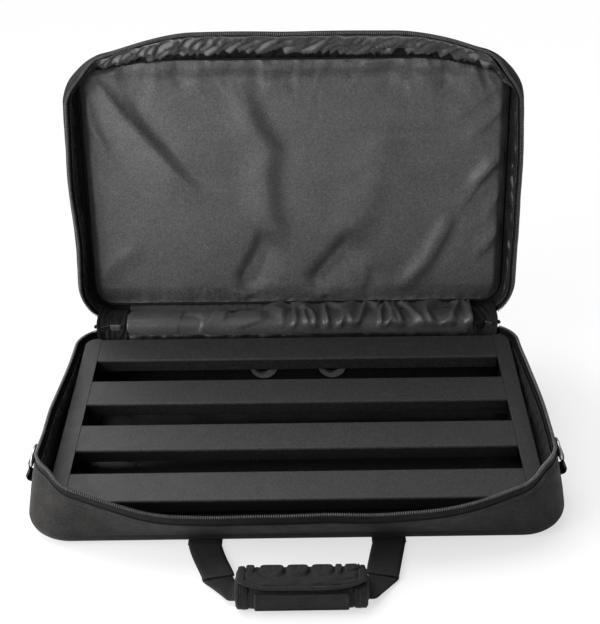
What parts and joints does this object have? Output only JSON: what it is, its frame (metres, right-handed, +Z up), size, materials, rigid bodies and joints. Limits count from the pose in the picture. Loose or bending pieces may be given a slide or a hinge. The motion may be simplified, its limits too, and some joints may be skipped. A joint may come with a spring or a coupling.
{
  "type": "guitar pedal case",
  "caption": "Soft padded pedal case, zip open, with a slotted sloping pedalboard inside, hinged lid, side rings and a wrapped carry handle.",
  "frame": {"origin": "middle of the base's flat underside, on the surface that the case stands on", "axes": "+X to the right across the case, +Y from the handle side to the lid hinge, +Z up; the lid is open at rest"},
  "size_m": [0.6626, 0.6093, 0.5119],
  "materials": {
    "outer_nylon": "woven black-brown nylon, padded, matt",
    "lining": "satin black nylon lining",
    "lid_lining": "grey-black satin nylon taffeta with soft folds",
    "stiffener": "hardboard sheet, hidden",
    "trim": "black woven binding tape",
    "zip": "black moulded zip teeth, satin",
    "metal": "nickel-plated steel",
    "webbing": "black ribbed webbing",
    "grip": "black padded hook-and-loop wrap",
    "board": "satin black powder coat on aluminium",
    "rubber": "black rubber"
  },
  "bodies": {
    "base": {"base_shell": "outer_nylon", "base_stiffener": "stiffener", "base_lining": "lining", "base_zip_tape": "trim", "base_zip_teeth": "zip", "hinge_gusset": "lining", "rear_brace": "board", "zip_slider_left": "metal", "zip_end_tab_left": "trim", "ring_tab_left": "webbing", "handle_anchor_left": "webbing", "side_rail_left": "board", "side_frame_left": "board", "cable_grommet_left": "rubber", "zip_slider_right": "metal", "zip_end_tab_right": "trim", "ring_tab_right": "webbing", "handle_anchor_right": "webbing", "side_rail_right": "board", "side_frame_right": "board", "cable_grommet_right": "rubber", "cross_rail_1": "board", "board_foot_1": "rubber", "cross_rail_2": "board", "board_foot_2": "rubber", "cross_rail_3": "board", "board_foot_3": "rubber", "cross_rail_4": "board", "board_foot_4": "rubber"},
    "lid": {"lid_shell": "outer_nylon", "lid_stiffener": "stiffener", "lid_lining_panel": "lid_lining", "lid_wall_lining": "lining", "lid_panel_binding": "trim", "lid_zip_tape": "trim", "lid_zip_teeth": "zip"},
    "handle": {"handle_strap_left": "webbing", "handle_strap_right": "webbing", "handle_core": "webbing", "handle_wrap": "grip", "handle_pad": "grip"},
    "flap": {"handle_flap": "grip"},
    "zip_pull_left": {"zip_pull_left": "metal"},
    "zip_pull_right": {"zip_pull_right": "metal"},
    "ring_left": {"d_ring_left": "metal"},
    "ring_right": {"d_ring_right": "metal"}
  },
  "joints": [
    {"name": "lid_hinge", "type": "hinge", "parent": "base", "child": "lid", "pos_m": [0, 0.1895, 0.094], "axis": [1, 0, 0], "range_deg": [-82, 98], "deforming": ["hinge_gusset"]},
    {"name": "handle_hinge", "type": "hinge", "parent": "base", "child": "handle", "pos_m": [0, -0.1965, 0.0012], "axis": [-1, 0, 0], "range_deg": [0, 35]},
    {"name": "flap_hinge", "type": "hinge", "parent": "handle", "child": "flap", "pos_m": [0, -0.2764, 0.0326], "axis": [-1, 0, 0], "range_deg": [0, 70]},
    {"name": "pull_left_swing", "type": "hinge", "parent": "base", "child": "zip_pull_left", "pos_m": [-0.28518, 0.18918, 0.094], "axis": [0, 0, -1], "range_deg": [0, 60]},
    {"name": "ring_left_swing", "type": "hinge", "parent": "base", "child": "ring_left", "pos_m": [-0.32668, -0.102, 0.06288], "axis": [0, -1, 0], "range_deg": [0, 150]},
    {"name": "pull_right_swing", "type": "hinge", "parent": "base", "child": "zip_pull_right", "pos_m": [0.28518, 0.18918, 0.094], "axis": [0, 0, 1], "range_deg": [0, 60]},
    {"name": "ring_right_swing", "type": "hinge", "parent": "base", "child": "ring_right", "pos_m": [0.32668, -0.102, 0.06288], "axis": [0, 1, 0], "range_deg": [0, 150]}
  ]
}
